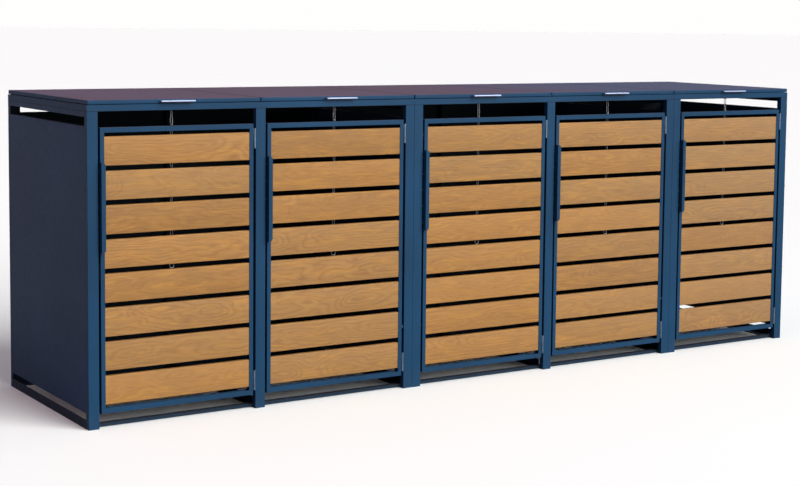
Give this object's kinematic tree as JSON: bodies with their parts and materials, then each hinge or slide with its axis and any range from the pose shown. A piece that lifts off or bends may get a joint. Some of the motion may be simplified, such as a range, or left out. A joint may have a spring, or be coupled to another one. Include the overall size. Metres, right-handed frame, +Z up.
{
  "type": "wheelie bin store",
  "caption": "Long steel bin store with slatted hinged doors, rear-hinged flap lids with hanging chains, open vent slots and no floor.",
  "frame": {"origin": "bottom centre of the whole store's bounding box, on the ground", "axes": "+X along the front towards the right-hand bay, +Y from the doors to the back, +Z up"},
  "size_m": [3.4108, 0.8702, 1.18],
  "materials": {
    "blue_coat": "satin powder coat",
    "slat_wood": "light oak grain, matt",
    "hinge_steel": "bright zinc",
    "bright_steel": "brushed stainless",
    "chain_steel": "zinc plated",
    "catch_steel": "zinc plated",
    "black_rubber": "matt"
  },
  "bodies": {
    "store": {"posts_a": "blue_coat", "posts_b": "blue_coat", "posts_c": "blue_coat", "top_frame_a": "blue_coat", "top_frame_b": "blue_coat", "top_frame_c": "blue_coat", "base_frame_a": "blue_coat", "base_frame_b": "blue_coat", "base_frame_c": "blue_coat", "side_panels_a": "blue_coat", "side_panels_b": "blue_coat", "side_panels_c": "blue_coat", "back_panels_a": "blue_coat", "back_panels_b": "blue_coat", "back_panels_c": "blue_coat", "door_hinge_leaves": "hinge_steel", "lid_hinge_leaves": "hinge_steel", "hinge_pins": "hinge_steel", "door_catches": "catch_steel", "lid_buffers": "black_rubber"},
    "door_1": {"door_frame_1": "blue_coat", "door_slats_1": "slat_wood", "door_handle_1": "blue_coat", "door_hinges_1": "hinge_steel"},
    "lid_1": {"lid_1": "blue_coat", "lid_handle_1": "bright_steel", "lid_hinges_1": "hinge_steel"},
    "chain_1": {"lid_chain_1": "chain_steel"},
    "door_2": {"door_frame_2": "blue_coat", "door_slats_2": "slat_wood", "door_handle_2": "blue_coat", "door_hinges_2": "hinge_steel"},
    "lid_2": {"lid_2": "blue_coat", "lid_handle_2": "bright_steel", "lid_hinges_2": "hinge_steel"},
    "chain_2": {"lid_chain_2": "chain_steel"},
    "door_3": {"door_frame_3": "blue_coat", "door_slats_3": "slat_wood", "door_handle_3": "blue_coat", "door_hinges_3": "hinge_steel"},
    "lid_3": {"lid_3": "blue_coat", "lid_handle_3": "bright_steel", "lid_hinges_3": "hinge_steel"},
    "chain_3": {"lid_chain_3": "chain_steel"},
    "door_4": {"door_frame_4": "blue_coat", "door_slats_4": "slat_wood", "door_handle_4": "blue_coat", "door_hinges_4": "hinge_steel"},
    "lid_4": {"lid_4": "blue_coat", "lid_handle_4": "bright_steel", "lid_hinges_4": "hinge_steel"},
    "chain_4": {"lid_chain_4": "chain_steel"},
    "door_5": {"door_frame_5": "blue_coat", "door_slats_5": "slat_wood", "door_handle_5": "blue_coat", "door_hinges_5": "hinge_steel"},
    "lid_5": {"lid_5": "blue_coat", "lid_handle_5": "bright_steel", "lid_hinges_5": "hinge_steel"},
    "chain_5": {"lid_chain_5": "chain_steel"}
  },
  "joints": [
    {"name": "door_1_swing", "type": "hinge", "parent": "store", "child": "door_1", "pos_m": [-1.0524, -0.4152, 0.568], "axis": [0, 0, 1], "range_deg": [0, 100]},
    {"name": "lid_1_lift", "type": "hinge", "parent": "store", "child": "lid_1", "pos_m": [-1.3664, 0.4302, 1.16375], "axis": [-1, 0, 0], "range_deg": [0, 90]},
    {"name": "chain_1_hang", "type": "hinge", "parent": "lid_1", "child": "chain_1", "pos_m": [-1.3664, -0.3682, 1.164], "axis": [-1, 0, 0], "range_deg": [-90, 0]},
    {"name": "door_2_swing", "type": "hinge", "parent": "store", "child": "door_2", "pos_m": [-0.3944, -0.4152, 0.568], "axis": [0, 0, 1], "range_deg": [0, 100]},
    {"name": "lid_2_lift", "type": "hinge", "parent": "store", "child": "lid_2", "pos_m": [-0.6884, 0.4302, 1.16375], "axis": [-1, 0, 0], "range_deg": [0, 90]},
    {"name": "chain_2_hang", "type": "hinge", "parent": "lid_2", "child": "chain_2", "pos_m": [-0.6884, -0.3682, 1.164], "axis": [-1, 0, 0], "range_deg": [-90, 0]},
    {"name": "door_3_swing", "type": "hinge", "parent": "store", "child": "door_3", "pos_m": [0.304, -0.4152, 0.568], "axis": [0, 0, 1], "range_deg": [0, 100]},
    {"name": "lid_3_lift", "type": "hinge", "parent": "store", "child": "lid_3", "pos_m": [-0.01, 0.4302, 1.16375], "axis": [-1, 0, 0], "range_deg": [0, 90]},
    {"name": "chain_3_hang", "type": "hinge", "parent": "lid_3", "child": "chain_3", "pos_m": [-0.01, -0.3682, 1.164], "axis": [-1, 0, 0], "range_deg": [-90, 0]},
    {"name": "door_4_swing", "type": "hinge", "parent": "store", "child": "door_4", "pos_m": [0.962, -0.4152, 0.568], "axis": [0, 0, 1], "range_deg": [0, 100]},
    {"name": "lid_4_lift", "type": "hinge", "parent": "store", "child": "lid_4", "pos_m": [0.668, 0.4302, 1.16375], "axis": [-1, 0, 0], "range_deg": [0, 90]},
    {"name": "chain_4_hang", "type": "hinge", "parent": "lid_4", "child": "chain_4", "pos_m": [0.668, -0.3682, 1.164], "axis": [-1, 0, 0], "range_deg": [-90, 0]},
    {"name": "door_5_swing", "type": "hinge", "parent": "store", "child": "door_5", "pos_m": [1.6604, -0.4152, 0.568], "axis": [0, 0, 1], "range_deg": [0, 100]},
    {"name": "lid_5_lift", "type": "hinge", "parent": "store", "child": "lid_5", "pos_m": [1.3564, 0.4302, 1.16375], "axis": [-1, 0, 0], "range_deg": [0, 90]},
    {"name": "chain_5_hang", "type": "hinge", "parent": "lid_5", "child": "chain_5", "pos_m": [1.3564, -0.3682, 1.164], "axis": [-1, 0, 0], "range_deg": [-90, 0]}
  ],
  "couplings": [
    {"joint": "chain_1_hang", "follows": "lid_1_lift", "ratio": -1},
    {"joint": "chain_2_hang", "follows": "lid_2_lift", "ratio": -1},
    {"joint": "chain_3_hang", "follows": "lid_3_lift", "ratio": -1},
    {"joint": "chain_4_hang", "follows": "lid_4_lift", "ratio": -1},
    {"joint": "chain_5_hang", "follows": "lid_5_lift", "ratio": -1}
  ]
}
